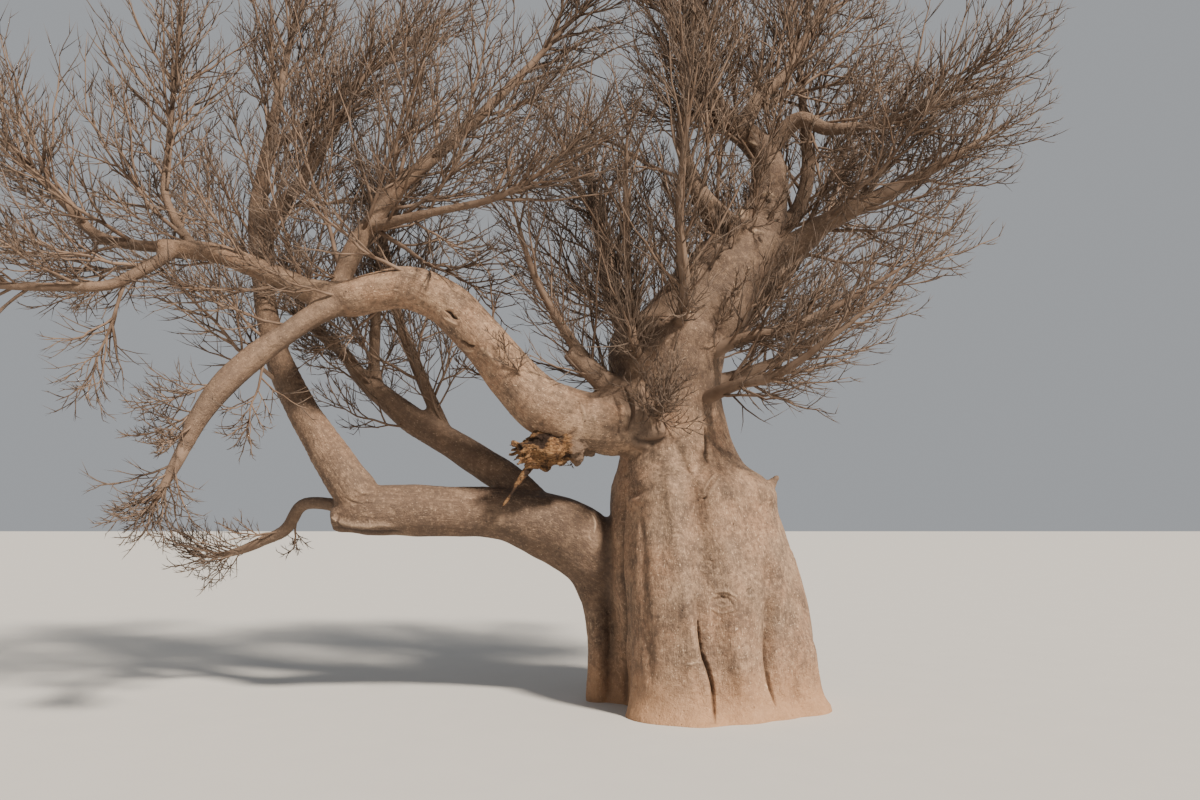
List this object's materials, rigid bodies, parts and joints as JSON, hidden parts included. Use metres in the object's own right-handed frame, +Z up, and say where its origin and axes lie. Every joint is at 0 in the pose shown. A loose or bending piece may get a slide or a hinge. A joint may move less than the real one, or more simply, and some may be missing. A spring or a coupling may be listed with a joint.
{
  "type": "bare baobab tree",
  "caption": "Leafless baobab with a fluted bottle trunk, an arched bough and a level bough that turns up at an elbow, and a spreading crown of fine twigs.",
  "frame": {"origin": "middle of the flat cut under the trunk, at ground level", "axes": "+Z up, +X level and away from the long arched and level boughs, +Y level and away from the side that the picture shows"},
  "size_m": [14.8403, 7.577, 12.049],
  "materials": {
    "bark": "smooth pinkish grey-brown bark, with pale streaks, fine wrinkles and dark pits",
    "torn_wood": "pale splintered wood of a torn bough, with grey weathered rind",
    "twigs": "grey-brown twig bark, paler on the lit side"
  },
  "bodies": {
    "root": {"arch_crown": "bark", "arch_drop": "bark", "arch_drop_twigs": "twigs", "arch_reach": "bark", "arch_rise": "bark", "arch_riser": "bark", "arch_riser_twigs": "twigs", "arch_side": "bark", "arch_side_twigs": "twigs", "back_left": "bark", "back_left_twigs": "twigs", "back_low_twigs": "twigs", "back_right": "bark", "back_right_twigs": "twigs", "broom_twigs": "twigs", "collar_twigs": "twigs", "crown_east": "bark", "crown_east_twigs": "twigs", "crown_top_twigs": "twigs", "east_bough": "bark", "east_bough_twigs": "twigs", "east_riser": "bark", "east_riser_twigs": "twigs", "east_upper": "bark", "east_upper_twigs": "twigs", "elbow_low": "bark", "elbow_low_twigs": "twigs", "elbow_mast": "bark", "elbow_rise": "bark", "fan_back_twigs": "twigs", "fan_low_twigs": "twigs", "fan_mid_twigs": "twigs", "front_twigs": "twigs", "inner_riser": "bark", "inner_riser_twigs": "twigs", "leader": "bark", "leader_top": "bark", "level_bough": "bark", "mast_high": "bark", "mast_high_twigs": "twigs", "mast_side": "bark", "mast_side_twigs": "twigs", "mast_top_twigs": "twigs", "post_twigs": "twigs", "shade_twigs": "twigs", "slant_bough": "bark", "slant_post": "bark", "slant_post_twigs": "twigs", "slant_rise": "bark", "slant_rise_twigs": "twigs", "slant_tip_twigs": "twigs", "torn_stub": "torn_wood", "trunk": "bark", "west_low": "bark", "west_low_twigs": "twigs", "west_rise": "bark", "west_rise_twigs": "twigs", "west_up": "bark", "west_up_twigs": "twigs"}
  },
  "joints": []
}
